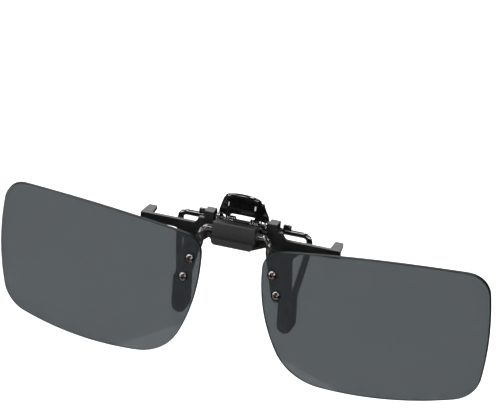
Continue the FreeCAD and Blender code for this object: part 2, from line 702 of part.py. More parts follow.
grip_shell = fuse("grip_shell", grip_middle, grip_side, mirrored("grip_side_left", grip_side))
node("thumb_grip", cut("grip", common("grip_blank", grip_view, grip_shell), rear_jaw))


def torsion_spring(name):
    """Coil round the pivot pin, with one end on the front jaw and the other on the rear jaw."""
    height = size("coil_pitch * coil_turns")
    coil_start = spot_at("coil_mean_r", "0", "0")
    coil_end = spot_at("coil_mean_r", "0", height)
    front_tip = spot_at("coil_mean_r", "web_back + coil_gap - pivot_y", "0")
    rear_tip = spot_at("coil_mean_r", "rod_front - coil_gap - pivot_y", height)
    coil = Part.makeHelix(size("coil_pitch"), height, size("coil_mean_r"))
    path = Part.Wire([Part.LineSegment(front_tip, coil_start).toShape(), *coil.Edges,
                      Part.LineSegment(coil_end, rear_tip).toShape()])
    ring = Part.Wire(Part.makeCircle(size("coil_wire_r"), front_tip, Vector(0, 1, 0)))
    item = doc.addObject("Part::Feature", name)
    item.Shape = path.makePipeShell([ring], True, True)
    upright = Rotation(Vector(0, 0, -1), Vector(0, 1, 0), Vector(1, 0, 0), "ZXY")
    item.Placement = Placement(spot_at(f"coil_mid - {height / 2}", "pivot_y", "pivot_z"), upright)
    return item


spring = torsion_spring("torsion_spring")
node("right_torsion_spring", spring)
node("left_torsion_spring", mirrored("torsion_spring_twin", spring))

# ---- checks and export ----------------------------------------------------------------------------

doc.recompute()
for item in doc.Objects:
    if "Invalid" in item.State or "Error" in item.State:
        raise RuntimeError(f"{item.Name} failed: {item.State}")
os.makedirs("parts", exist_ok=True)
for name, item in nodes.items():
    shape = item.Shape
    if shape.isNull() or not shape.isValid() or not shape.Solids:
        raise RuntimeError(f"{name} has no sound solid")
    print(f"{name}: {len(shape.Solids)} solids, {shape.Volume:.2f} mm3")
    shape.exportStep(f"parts/{name}.step")
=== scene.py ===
import json
import math

import bmesh
import bpy
from mathutils import Matrix, Quaternion, Vector


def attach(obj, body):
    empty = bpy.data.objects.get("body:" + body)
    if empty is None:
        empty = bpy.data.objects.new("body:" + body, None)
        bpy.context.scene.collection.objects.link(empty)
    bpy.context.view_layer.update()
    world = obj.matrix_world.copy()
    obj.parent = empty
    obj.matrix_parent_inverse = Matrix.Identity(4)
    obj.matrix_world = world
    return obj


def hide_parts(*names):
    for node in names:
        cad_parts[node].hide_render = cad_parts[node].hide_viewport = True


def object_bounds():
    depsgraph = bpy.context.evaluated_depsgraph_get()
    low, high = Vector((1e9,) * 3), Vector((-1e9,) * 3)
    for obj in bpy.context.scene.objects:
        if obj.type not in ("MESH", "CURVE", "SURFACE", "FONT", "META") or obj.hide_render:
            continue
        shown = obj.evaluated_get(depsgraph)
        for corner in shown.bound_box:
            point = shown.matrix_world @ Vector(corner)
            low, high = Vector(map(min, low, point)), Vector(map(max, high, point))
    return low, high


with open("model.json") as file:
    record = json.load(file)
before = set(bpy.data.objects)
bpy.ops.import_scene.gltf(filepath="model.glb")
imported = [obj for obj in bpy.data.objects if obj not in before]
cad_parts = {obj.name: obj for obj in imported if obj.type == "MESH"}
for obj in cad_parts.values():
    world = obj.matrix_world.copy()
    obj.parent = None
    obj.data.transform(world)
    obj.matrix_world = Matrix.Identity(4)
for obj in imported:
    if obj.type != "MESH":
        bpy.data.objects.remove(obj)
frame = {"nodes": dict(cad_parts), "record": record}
cad_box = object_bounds()
MM = 0.001
DEPTHWISE = Vector((0, 1, 0))


def mm(x, y, z):
    """Point given in millimetres, as a vector in metres."""
    return Vector((x, y, z)) * MM


# ---- camera, floor and light ------------------------------------------------------------------

AIM = mm(1.127, 4.556, 7.091)
CAMERA_AZIMUTH = math.radians(17.38)
CAMERA_ELEVATION = math.radians(26.34)
CAMERA_ROLL = math.radians(3.56)
CAMERA_DISTANCE = 2.0
CAMERA_REACH = 10
FOCAL_MM = 563.3
FLOOR_DROP = 0.16
FLOOR_HALF = 6
WORLD_STRENGTH = 0.6
# Softboxes: the name, the direction from the object, and then distance, width, height and radiance.
SOFTBOXES = (
    ("back_softbox", (-0.3, 1.2, 0.6), 1.6, 1.7, 0.7, 2.2),
    ("left_overhead", (-0.6, 0.0, 0.8), 1.3, 0.8, 0.7, 8),
    ("middle_overhead", (-0.1, 0.0, 1.0), 1.3, 0.8, 0.16, 18),
    ("key_light", (-0.27, -0.79, 0.55), 1.3, 0.1, 0.4, 10),
    ("right_overhead", (0.55, 0.0, 0.83), 1.3, 0.7, 0.36, 6),
    ("floor_bounce", (-0.1, -0.05, -1.0), 0.15, 0.22, 0.22, 0.6),
    ("left_light", (-0.92, -0.3, 0.3), 1.3, 0.3, 0.34, 14),
    ("right_light", (0.8, -0.5, 0.36), 1.3, 0.3, 0.3, 14),
    ("left_low_light", (-0.73, -0.67, 0.0), 1.2, 0.75, 0.28, 7),
    ("front_low_light", (0.3, -0.95, 0.0), 1.2, 0.8, 0.28, 7),
)


def add_camera():
    """Camera that looks at the aim from the given angles, tilted by the roll."""
    sight = Vector((-math.sin(CAMERA_AZIMUTH) * math.cos(CAMERA_ELEVATION),
                    math.cos(CAMERA_AZIMUTH) * math.cos(CAMERA_ELEVATION),
                    -math.sin(CAMERA_ELEVATION)))
    level = Vector((math.cos(CAMERA_AZIMUTH), math.sin(CAMERA_AZIMUTH), 0))
    upward = level.cross(sight)
    right = level * math.cos(CAMERA_ROLL) + upward * math.sin(CAMERA_ROLL)
    top = upward * math.cos(CAMERA_ROLL) - level * math.sin(CAMERA_ROLL)
    data = bpy.data.cameras.new("camera")
    data.lens = FOCAL_MM
    data.clip_end = CAMERA_REACH
    camera = bpy.data.objects.new("camera", data)
    bpy.context.scene.collection.objects.link(camera)
    turn = Matrix((right, top, -sight)).transposed().to_4x4()
    camera.matrix_world = Matrix.Translation(AIM - sight * CAMERA_DISTANCE) @ turn
    bpy.context.scene.camera = camera


def add_softbox(name, direction, distance, wide, high, radiance):
    """Rectangular soft light of an even brightness, facing the object."""
    data = bpy.data.lights.new(name, "AREA")
    data.shape = "RECTANGLE"
    data.size = wide
    data.size_y = high
    data.energy = radiance * math.pi * wide * high
    light = bpy.data.objects.new(name, data)
    bpy.context.scene.collection.objects.link(light)
    light.location = Vector(direction).normalized() * distance
    light.rotation_euler = (-light.location).to_track_quat("-Z", "Y").to_euler()
    light.visible_camera = False


def add_studio():
    """White surroundings that nothing mirrors, and the softboxes."""
    world = bpy.data.worlds.new("studio")
    bpy.context.scene.world = world
    world.use_nodes = True
    backdrop = world.node_tree.nodes["Background"]
    backdrop.inputs["Color"].default_value = (1, 1, 1, 1)
    backdrop.inputs["Strength"].default_value = WORLD_STRENGTH
    world.cycles_visibility.glossy = False
    for softbox in SOFTBOXES:
        add_softbox(*softbox)
    bpy.context.scene.view_settings.view_transform = "Standard"


def add_floor():
    """Pale floor well below the object, which nothing mirrors."""
    floor_z = cad_box[0].z - FLOOR_DROP
    mesh = bpy.data.meshes.new("floor")
    corners = [(-FLOOR_HALF, -FLOOR_HALF, floor_z), (FLOOR_HALF, -FLOOR_HALF, floor_z),
               (FLOOR_HALF, FLOOR_HALF, floor_z), (-FLOOR_HALF, FLOOR_HALF, floor_z)]
    mesh.from_pydata(corners, [], [(0, 1, 2, 3)])
    floor = bpy.data.objects.new("floor", mesh)
    bpy.context.scene.collection.objects.link(floor)
    mesh.materials.append(floor_material())
    floor.visible_glossy = False


# ---- materials ----------------------------------------------------------------------------------

# Noise cells per metre.
FLOOR_GRAIN = 12
COAT_GRAIN = 2600
STEEL_GRAIN = 3500
RUBBER_GRAIN = 5000
LENS_GRAIN = 180
NOISE_DETAIL = 3
BUMP_STRENGTH = 0.5
MOTTLE_LOW = 0.35
MOTTLE_HIGH = 0.65


def new_material(name, **settings):
    """Material whose Principled shader has the given inputs set."""
    material = bpy.data.materials.new(name)
    material.use_nodes = True
    shader = material.node_tree.nodes["Principled BSDF"]
    for socket, value in settings.items():
        shader.inputs[socket.replace("_", " ")].default_value = value
    return material, shader


def link_noise(material, shader, grain, rough_low, rough_high, bump):
    """Fine noise drives roughness between two values, and a bump of the given height in millimetres."""
    tree = material.node_tree
    place = tree.nodes.new("ShaderNodeTexCoord")
    noise = tree.nodes.new("ShaderNodeTexNoise")
    noise.inputs["Scale"].default_value = grain
    noise.inputs["Detail"].default_value = NOISE_DETAIL
    tree.links.new(place.outputs["Object"], noise.inputs["Vector"])
    spread = tree.nodes.new("ShaderNodeMapRange")
    spread.inputs["To Min"].default_value = rough_low
    spread.inputs["To Max"].default_value = rough_high
    tree.links.new(noise.outputs["Fac"], spread.inputs["Value"])
    tree.links.new(spread.outputs["Result"], shader.inputs["Roughness"])
    relief = tree.nodes.new("ShaderNodeBump")
    relief.inputs["Distance"].default_value = bump * MM
    relief.inputs["Strength"].default_value = BUMP_STRENGTH
    tree.links.new(noise.outputs["Fac"], relief.inputs["Height"])
    tree.links.new(relief.outputs["Normal"], shader.inputs["Normal"])
    return noise


def link_colour(material, shader, noise, dark, light):
    """Noise mottles the base colour between two tones."""
    tree = material.node_tree
    ramp = tree.nodes.new("ShaderNodeValToRGB")
    ramp.color_ramp.elements[0].position = MOTTLE_LOW
    ramp.color_ramp.elements[1].position = MOTTLE_HIGH
    ramp.color_ramp.elements[0].color = (*dark, 1)
    ramp.color_ramp.elements[1].color = (*light, 1)
    tree.links.new(noise.outputs["Fac"], ramp.inputs["Fac"])
    tree.links.new(ramp.outputs["Color"], shader.inputs["Base Color"])


def grey(value):
    return (value, value, value)


def floor_material():
    material, shader = new_material("floor_white", Specular_IOR_Level=0.0)
    noise = link_noise(material, shader, FLOOR_GRAIN, 0.85, 0.95, 0.2)
    link_colour(material, shader, noise, grey(0.93), grey(0.95))
    return material


def coated_steel(name, dark, light, rough_low, rough_high, level, index=1.5, bump=0.02):
    """Painted or blackened metal with a faint orange-peel."""
    material, shader = new_material(name, Specular_IOR_Level=level, IOR=index)
    noise = link_noise(material, shader, COAT_GRAIN, rough_low, rough_high, bump)
    link_colour(material, shader, noise, dark, light)
    return material


def bare_steel(name, dark, light, rough_low, rough_high):
    """Metal without a coat, finely drawn or polished."""
    material, shader = new_material(name, Metallic=1.0)
    noise = link_noise(material, shader, STEEL_GRAIN, rough_low, rough_high, 0.01)
    link_colour(material, shader, noise, dark, light)
    return material


def rubber(name, dark, light, rough_low, rough_high):
    """Dull, fine-grained rubber."""
    material, shader = new_material(name, Specular_IOR_Level=0.15)
    noise = link_noise(material, shader, RUBBER_GRAIN, rough_low, rough_high, 0.04)
    link_colour(material, shader, noise, dark, light)
    return material


def polycarbonate(name, dark, light, rough_low, rough_high, clear, level):
    """Tinted plastic that lets a little of what is behind show, as far as it is clear."""
    material, shader = new_material(name, Transmission_Weight=clear, Specular_IOR_Level=level, IOR=1.5)
    noise = link_noise(material, shader, LENS_GRAIN, rough_low, rough_high, 0.001)
    link_colour(material, shader, noise, dark, light)
    return material


# Each material's maker, its darker and lighter tone, its lowest and highest roughness, and then the maker's
# own values: level, index and bump for coated steel, clearness and level for polycarbonate.
RECIPES = {
    "black_steel": (coated_steel, grey(0.005), grey(0.008), 0.26, 0.36, 0.6),
    "box_steel": (coated_steel, (0.0108, 0.0108, 0.0110), (0.0138, 0.0138, 0.0140), 0.4, 0.5, 0.3),
    "gloss_black_steel": (coated_steel, grey(0.003), grey(0.005), 0.12, 0.2, 0.9, 1.9, 0.006),
    "bracket_steel": (coated_steel, (0.012, 0.012, 0.011), (0.02, 0.02, 0.018), 0.1, 0.15, 0.9, 1.6, 0.004),
    "gloss_black": (coated_steel, grey(0.002), grey(0.003), 0.06, 0.09, 1.0, 1.5, 0.003),
    "spring_steel": (bare_steel, grey(0.12), grey(0.2), 0.14, 0.22),
    "pin_steel": (bare_steel, grey(0.03), grey(0.06), 0.25, 0.35),
    "inner_steel": (bare_steel, grey(0.25), grey(0.32), 0.3, 0.4),
    "screw_steel": (bare_steel, (0.18, 0.16, 0.16), (0.24, 0.21, 0.21), 0.05, 0.09),
    # The near-black recess steel below paints shade into the deep part of the screws' cross recesses.
    "recess_painted_shade": (bare_steel, (0.01, 0.009, 0.009), (0.02, 0.017, 0.017), 0.4, 0.5),
    "nut_steel": (coated_steel, grey(0.006), grey(0.01), 0.3, 0.4, 0.2),
    "washer_rubber": (rubber, grey(0.001), grey(0.002), 0.55, 0.75),
    "pad_rubber": (rubber, grey(0.007), grey(0.011), 0.55, 0.75),
    "lens_tint": (polycarbonate, (0.0620, 0.0690, 0.0735), (0.0640, 0.0710, 0.0755), 0.0, 0.02, 0.82, 0.5),
    "lens_edge": (polycarbonate, (0.004, 0.005, 0.006), (0.008, 0.009, 0.01), 0.3, 0.45, 0.0, 0.12),
}
MATERIALS = {name: make(name, *values) for name, (make, *values) in RECIPES.items()}

# Widths of the softened edges of the CAD nodes that keep their shape, and the width for all others.
SOFT_EDGES = {"box_base": 0.18, "front_jaw": 0.16, "pivot_pin": 0.15, "box_rivets": 0.15}
SOFT_EDGE = 0.08
SOFT_SEGMENTS = 3
SOFT_ANGLE = math.radians(35)


def dress_cad_nodes():
    """Every carried-over CAD node gets its slot's material and softened edges."""
    slots = {entry["node"]: entry["material_slot"] for entry in frame["record"]["subparts"]}
    for name, item in frame["nodes"].items():
        item.data.materials.clear()
        item.data.materials.append(MATERIALS[slots[name]])
        soften = item.modifiers.new("soft_edges", "BEVEL")
        soften.width = SOFT_EDGES.get(name, SOFT_EDGE) * MM
        soften.segments = SOFT_SEGMENTS
        soften.limit_method = "ANGLE"
        soften.angle_limit = SOFT_ANGLE
        soften.harden_normals = True


# ---- mesh building --------------------------------------------------------------------------------

# A bar's rounded end: the scale of each ring and its place along the rounding, whose depth is a share of the
# bar's thinner half.
BAR_END = ((1.0, 0.0), (0.85, 0.55), (0.5, 0.9), (0.15, 1.0))
BAR_END_DEPTH = 0.6
SLAB_SEGMENTS = 3
SLAB_ANGLE = math.radians(25)


def finish_piece(name, shape, body, slot, replaced, materials=None, sharp_angle=40):
    """Turn a bmesh into a smooth-shaded piece that rides on a body and stands for CAD nodes."""
    bmesh.ops.recalc_face_normals(shape, faces=shape.faces)
    for edge in shape.edges:
        if len(edge.link_faces) == 2:
            edge.smooth = edge.calc_face_angle() < math.radians(sharp_angle)
    for face in shape.faces:
        face.smooth = True
    mesh = bpy.data.meshes.new(name)
    shape.to_mesh(mesh)
    shape.free()
    for material in materials or [MATERIALS[slot]]:
        mesh.materials.append(material)
    piece = bpy.data.objects.new(name, mesh)
    bpy.context.scene.collection.objects.link(piece)
    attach(piece, body)
    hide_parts(*replaced)


def smooth_path(points, steps=8):
    """Points along a smooth curve through the given ones."""
    points = [Vector(point) for point in points]
    padded = [points[0] * 2 - points[1], *points, points[-1] * 2 - points[-2]]
    path = []
    for before, start, end, after in zip(padded, padded[1:], padded[2:], padded[3:]):
        for step in range(steps):
            t = step / steps
            path.append(((start * 2) + (end - before) * t
                         + (before * 2 - start * 5 + end * 4 - after) * t ** 2
                         + (start * 3 - before - end * 3 + after) * t ** 3) / 2)
    return path + [points[-1]]


def mirror_path(half):
    """Path from the far side to the middle, and on along its mirror image in x."""
    return half + [Vector((-point.x, point.y, point.z)) for point in reversed(half[:-1])]


def spread(values, count):
    """Values at a number of even stations along the given ones."""
    result = []
    for station in range(count):
        place = station / (count - 1) * (len(values) - 1)
        low = min(int(place), len(values) - 2)
        result.append(values[low] + (values[low + 1] - values[low]) * (place - low))
    return result


def interpolate(table, value):
    """Height at a value of the line through sorted pairs."""
    for (start, low), (end, high) in zip(table, table[1:]):
        if value <= end:
            return low + (high - low) * max(0.0, value - start) / (end - start)
    return table[-1][1]


def ease(value):
    """Smooth step from 0 to 1."""
    value = min(max(value, 0.0), 1.0)
    return value * value * (3 - 2 * value)


def quarter_round(value, least=0.0):
    """Height of a quarter circle at a share of its width, and 1 beyond it."""
    return math.sqrt(max(least, 1 - (1 - min(1.0, value)) ** 2))


def add_rings(shape, rings):
    """Skin of quads over closed rings of points, with both ends filled; returns its faces."""
    rows = [[shape.verts.new(point) for point in ring] for ring in rings]
    count = len(rows[0])
    faces = []
    for first, second in zip(rows, rows[1:]):
        for number in range(count):
            following = (number + 1) % count
            corners = (first[number], first[following], second[following], second[number])
            faces.append(shape.faces.new(corners))
    return faces + [shape.faces.new(rows[0]), shape.faces.new(rows[-1])]


def rounded_section(half_side, half_up, power, sides):
    """Offsets round a section between an ellipse (power 2) and a rectangle."""
    offsets = []
    for number in range(sides):
        angle = 2 * math.pi * number / sides
        across = math.copysign(abs(math.cos(angle)) ** (2 / power), math.cos(angle))
        along = math.copysign(abs(math.sin(angle)) ** (2 / power), math.sin(angle))
        offsets.append((across * half_side, along * half_up))
    return offsets


def add_bar(shape, path, side_halves, up_halves, hint, sides, power=2.0, sign=1):
    """Round-ended bar along a path in millimetres. Its half sizes, along the hint and across it, are spread
    over the path."""
    path = [Vector(point) for point in path]
    side_sizes = spread(side_halves, len(path))
    up_sizes = spread(up_halves, len(path))
    rings = []
    for number, point in enumerate(path):
        tangent = (path[min(number + 1, len(path) - 1)] - path[max(number - 1, 0)]).normalized()
        side = (hint - tangent * hint.dot(tangent)).normalized()
        up = tangent.cross(side)
        ends = BAR_END[:1]
        if number == 0:
            ends = BAR_END[::-1]
        elif number == len(path) - 1:
            ends = BAR_END
        outward = -1 if number == 0 else 1
        depth = min(side_sizes[number], up_sizes[number]) * BAR_END_DEPTH
        for scale, part in ends:
            centre = point + tangent * (outward * depth * part)
            half_side, half_up = side_sizes[number] * scale, up_sizes[number] * scale
            ring = []
            for across, along in rounded_section(half_side, half_up, power, sides):
                place = centre + side * across + up * along
                ring.append(mm(sign * place.x, place.y, place.z))
            rings.append(ring)
    add_rings(shape, rings)


def add_slab(shape, outline, axis, low, high, bevel, sign=1):
    """Outline in millimetres across the x or y axis, padded from low to high, with rounded edges."""
    def place(first, second, level):
        x, y = (level, first) if axis == "x" else (first, level)
        return mm(sign * x, y, second)

    near = [shape.verts.new(place(*spot, low)) for spot in outline]
    far = [shape.verts.new(place(*spot, high)) for spot in outline]
    faces = [shape.faces.new(near), shape.faces.new(far)]
    for number in range(len(outline)):
        following = (number + 1) % len(outline)
        faces.append(shape.faces.new((near[number], near[following], far[following], far[number])))
    bmesh.ops.recalc_face_normals(shape, faces=faces)
    edges = {edge for face in faces for edge in face.edges if edge.calc_face_angle() > SLAB_ANGLE}
    bmesh.ops.bevel(shape, geom=list(edges), offset=bevel * MM, segments=SLAB_SEGMENTS, profile=0.5,
                    affect="EDGES", clamp_overlap=True)


def arc_points(centre, start, end, count):
    """Points along the shorter arc round a centre, without the last one."""
    first = math.atan2(start.y - centre.y, start.x - centre.x)
    turn = math.atan2(end.y - centre.y, end.x - centre.x) - first
    turn = (turn + math.pi) % (2 * math.pi) - math.pi
    radius = (start - centre).length
    steps = [first + turn * step / count for step in range(count)]
    return [centre + Vector((math.cos(angle), math.sin(angle))) * radius for angle in steps]


def rounded_outline(corners, radii, steps=8):
    """Straight-sided outline whose corners are rounded by the given radii."""
    corners = [Vector(corner) for corner in corners]
    outline = []
    for number, (corner, radius) in enumerate(zip(corners, radii)):
        if radius == 0:
            outline.append(corner)
            continue
        inward = (corners[number - 1] - corner).normalized()
        onward = (corners[(number + 1) % len(corners)] - corner).normalized()
        half = inward.angle(onward) / 2
        reach = radius / math.tan(half)
        start = corner + inward * reach
        end = corner + onward * reach
        centre = corner + (inward + onward).normalized() * (radius / math.sin(half))
        outline += arc_points(centre, start, end, steps) + [end]
    return outline


# ---- lenses ---------------------------------------------------------------------------------------

LENS_RADIUS = 128.3
LENS_CENTRE = Vector((13.4, 122.9, -16.0))
LENS_THICK = 1.1
# Corners of the outline in x and z, the radius of the bowed edge that follows each one, and the radius
# that rounds it.
LENS_CORNERS = (
    (17.43, -35.6, 125.0, 15.0),
    (63.81, -35.6, 80.0, 7.4),
    (65.2, -0.6, 170.0, 7.0),
    (8.54, -0.6, 52.0, 5.2),
)
BOW_STEPS = 40
ROUND_STEPS = 20
LENS_RINGS = 12
RIM_CHAMFER = 0.12
LENS_HALF_HIGH = 20


def bow_centre(start, end, radius):
    """Centre of the arc from start to end that bows outwards, on an anticlockwise outline."""
    chord = end - start
    inward = Vector((-chord.y, chord.x)).normalized()
    return (start + end) / 2 + inward * math.sqrt(radius ** 2 - (chord.length / 2) ** 2)


def lens_outline():
    """Closed outline of a lens in x and z: four bowed edges joined by tangent rounds."""
    corners = [Vector(entry[:2]) for entry in LENS_CORNERS]
    count = len(corners)
    bows = [bow_centre(corner, corners[(number + 1) % count], LENS_CORNERS[number][2])
            for number, corner in enumerate(corners)]
    rounds = []
    for number, corner in enumerate(corners):
        bend = LENS_CORNERS[number][3]
        before, after = bows[number - 1], bows[number]
        reach_before = LENS_CORNERS[number - 1][2] - bend
        reach_after = LENS_CORNERS[number][2] - bend
        between = after - before
        along = (reach_before ** 2 - reach_after ** 2 + between.length_squared) / (2 * between.length)
        off = math.sqrt(reach_before ** 2 - along ** 2)
        direction = between.normalized()
        foot = before + direction * along
        aside = Vector((-direction.y, direction.x)) * off
        centre = min((foot + aside, foot - aside), key=lambda spot: (spot - corner).length)
        rounds.append((centre, centre + (centre - before).normalized() * bend,
                       centre + (centre - after).normalized() * bend))
    outline = []
    for number, (centre, start, end) in enumerate(rounds):
        outline += arc_points(centre, start, end, ROUND_STEPS)
        outline += arc_points(bows[number], end, rounds[(number + 1) % count][1], BOW_STEPS)
    return outline


def lens_depth(x, z, depth):
    """y of the spherical skin that lies at a depth behind the lens's front surface."""
    radius = LENS_RADIUS - depth
    return LENS_CENTRE.y - math.sqrt(radius ** 2 - (x - LENS_CENTRE.x) ** 2 - (z - LENS_CENTRE.z) ** 2)


def build_lens(side, sign):
    """Curved lens with polished faces and a ground, chamfered edge."""
    outline = lens_outline()
    middle = sum(outline, Vector((0, 0))) / len(outline)
    rim = 1 - RIM_CHAMFER / LENS_HALF_HIGH
    rings = [(step / LENS_RINGS, 0.0) for step in range(1, LENS_RINGS)]
    rings += [(rim, 0.0), (1.0, RIM_CHAMFER), (1.0, LENS_THICK - RIM_CHAMFER), (rim, LENS_THICK)]
    rings += [(step / LENS_RINGS, LENS_THICK) for step in range(LENS_RINGS - 1, 0, -1)]
    edge_levels = range(LENS_RINGS - 1, LENS_RINGS + 2)
    shape = bmesh.new()
    rows = []
    for scale, depth in rings:
        row = []
        for spot in outline:
            place = middle + (spot - middle) * scale
            row.append(shape.verts.new(mm(sign * place.x, lens_depth(place.x, place.y, depth), place.y)))
        rows.append(row)
    count = len(outline)
    for level, (inner, outer) in enumerate(zip(rows, rows[1:])):
        for number in range(count):
            following = (number + 1) % count
            face = shape.faces.new((inner[number], outer[number], outer[following], inner[following]))
            face.material_index = 1 if level in edge_levels else 0
    for row, depth in ((rows[0], 0.0), (rows[-1], LENS_THICK)):
        hub = shape.verts.new(mm(sign * middle.x, lens_depth(middle.x, middle.y, depth), middle.y))
        for number in range(count):
            shape.faces.new((row[number], row[(number + 1) % count], hub))
    finish_piece(f"{side}_tinted_lens", shape, "lens_carrier", "lens_tint", [f"{side}_lens"],
                 [MATERIALS["lens_tint"], MATERIALS["lens_edge"]], sharp_angle=20)


# ---- lens brackets and screws -----------------------------------------------------------------------

# The flip axle's y and z.
FLIP_AXLE = (-2.4, 2.2)
PLATE_THICK = 0.8
PLATE_EDGE = 0.16
PLATE_EASE = 0.3
PLATE_HALF_WIDE = 2.2
LENS_GAP = 0.03
PLATE_CORNERS = ((11.4, -14.6), (14.9, -13.9), (13.95, -7.6), (11.7, -1.4), (8.7, -1.7))
PLATE_ROUNDS = (1.5, 1.5, 12.0, 1.1, 1.1)
WIRE_PATH = (
    (4.6, *FLIP_AXLE), (6.6, *FLIP_AXLE), (7.6, -2.42, 2.18), (8.45, -2.62, 1.8), (9.05, -2.9, 1.0),
    (9.3, -3.05, 0.2), (9.4, -3.0, -0.7), (9.5, -2.9, -1.7), (9.8, -2.85, -2.9), (10.3, -2.85, -4.3),
)
WIRE_THICK = (0.78, 0.78, 0.78, 0.78, 0.76, 0.66, 0.5, 0.42, 0.36, 0.2)
WIRE_WIDE = (0.78, 0.78, 0.78, 0.78, 0.8, 0.86, 1.0, 1.15, 1.2, 1.1)
# Each screw's x and z, and the turn of its cross in degrees.
SCREWS = ((11.14, -6.45, 25), (12.61, -11.84, 62))
SCREW_SIDES = 48
DOME_RINGS = 24
WASHER_THICK = 0.25
HEAD_R = 1.15
HEAD_HIGH = 0.65
SHANK_R = 0.6
SHANK_END = 3.0
SHANK_CHAMFER = 0.12
# The cross recess: its depth, the half width and reach of its arms, and the widths over which its sides
# and ends slope.
RECESS_DEPTH = 0.34
RECESS_ARM = 0.26
RECESS_REACH = 0.66
RECESS_SIDE = 0.08
RECESS_END = 0.12
# Depth of the recess past which its faces are painted near-black as shade.
RECESS_SHADE = 0.16


def add_plate(shape, sign):
    """Plate that hugs the back of the lens, its edges rounded all round."""
    outline = rounded_outline(PLATE_CORNERS, PLATE_ROUNDS)
    middle = sum(outline, Vector((0, 0))) / len(outline)
    front = LENS_THICK + LENS_GAP
    back = LENS_THICK + PLATE_THICK
    inset = PLATE_EDGE / PLATE_HALF_WIDE
    rise = PLATE_EDGE * PLATE_EASE
    face = [(0.02, 0.0), (0.5, 0.0), (1 - inset, 0.0), (1 - inset * PLATE_EASE, rise), (1.0, PLATE_EDGE)]
    rings = [(scale, front + depth) for scale, depth in face]
    rings += [(scale, back - depth) for scale, depth in reversed(face)]
    placed = []
    for scale, depth in rings:
        spots = [middle + (spot - middle) * scale for spot in outline]
        placed.append([mm(sign * spot.x, lens_depth(spot.x, spot.y, depth), spot.y) for spot in spots])
    add_rings(shape, placed)


def build_bracket(side, sign):
    """Bent wire that flattens into the plate behind the lens."""
    shape = bmesh.new()
    add_plate(shape, sign)
    add_bar(shape, smooth_path(WIRE_PATH), WIRE_THICK, WIRE_WIDE, DEPTHWISE, 24, sign=sign)
    finish_piece(f"{side}_wire_bracket", shape, "lens_carrier", "bracket_steel", [f"{side}_bracket"])


def recess_depth(across, along):
    """Depth of the cross recess at a place on a screw head."""
    reach = math.hypot(across, along)
    arm = min(abs(across), abs(along))
    return RECESS_DEPTH * ease((RECESS_ARM - arm) / RECESS_SIDE) * ease((RECESS_REACH - reach) / RECESS_END)


def screw_profile():
    """Radius and depth of a screw's rings from the top of its dome to the end of its shank; the recess is
    sunk into those marked True."""
    ball = (HEAD_R ** 2 + HEAD_HIGH ** 2) / (2 * HEAD_HIGH)
    profile = []
    for step in range(1, DOME_RINGS + 1):
        radius = HEAD_R * step / DOME_RINGS
        drop = ball - math.sqrt(ball ** 2 - radius ** 2)
        profile.append((radius, drop - HEAD_HIGH - WASHER_THICK, True))
    profile += [(HEAD_R, -WASHER_THICK, False), (SHANK_R, -WASHER_THICK, False)]
    profile += [(SHANK_R, SHANK_END - SHANK_CHAMFER, False), (SHANK_R - SHANK_CHAMFER, SHANK_END, False)]
    return profile


def add_screw(shape, sign, x, z, turn):
    """Domed cross-head screw square to the lens; the deep part of its recess takes the second material, a
    near-black painted shade.
    """
    point = Vector((x, lens_depth(x, z, 0.0), z))
    backward = (LENS_CENTRE - point).normalized()
    first = backward.orthogonal().normalized()
    first.rotate(Quaternion(backward, math.radians(turn)))
    second = backward.cross(first)
    rings = []
    for radius, depth, domed in screw_profile():
        ring = []
        for number in range(SCREW_SIDES):
            angle = 2 * math.pi * number / SCREW_SIDES
            across = radius * math.cos(angle)
            along = radius * math.sin(angle)
            sunk = recess_depth(across, along) if domed else 0.0
            spot = point + first * across + second * along + backward * (depth + sunk)
            ring.append(mm(sign * spot.x, spot.y, spot.z))
        rings.append(ring)
    # Faces deep in the cross recess get the second material, which paints shade there.
    for face in add_rings(shape, rings):
        centre = face.calc_center_median() / MM
        reach = Vector((sign * centre.x, centre.y, centre.z)) - point
        in_recess = recess_depth(reach.dot(first), reach.dot(second)) > RECESS_SHADE
        face.material_index = 1 if in_recess and reach.dot(backward) < 0 else 0


def build_screws(side, sign):
    """Both screws of a lens, with the ends of their shanks at the back."""
    shape = bmesh.new()
    for screw in SCREWS:
        add_screw(shape, sign, *screw)
    finish_piece(f"{side}_domed_screws", shape, "lens_carrier", "screw_steel", [f"{side}_lens_screws"],
                 [MATERIALS["screw_steel"], MATERIALS["recess_painted_shade"]], sharp_angle=60)


# ---- hinge box --------------------------------------------------------------------------------------

# Outline in y and z, and the rounding of its corners.
BOX_CORNERS = ((-4.5, 0.3), (-0.3, 0.3), (-0.3, 4.1), (-4.5, 5.16))
BOX_ROUNDS = (0.2, 0.2, 0.7, 0.45)
BOX_HALF = 5.68
BOX_EDGE = 0.16
COLLAR_X = (4.9, 5.6, 5.95)
COLLAR_R = (1.12, 1.12, 0.98)


def build_hinge_box():
    """Folded sheet box with softened edges and a collar round each wire."""
    shape = bmesh.new()
    add_slab(shape, rounded_outline(BOX_CORNERS, BOX_ROUNDS, 5), "x", -BOX_HALF, BOX_HALF, BOX_EDGE)
    for sign in (-1, 1):
        add_bar(shape, [(x, *FLIP_AXLE) for x in COLLAR_X], COLLAR_R, COLLAR_R, DEPTHWISE, 28, sign=sign)
    finish_piece("hinge_cover", shape, "clamp", "box_steel", ["hinge_box"])


# ---- rear jaw and springs -----------------------------------------------------------------------------

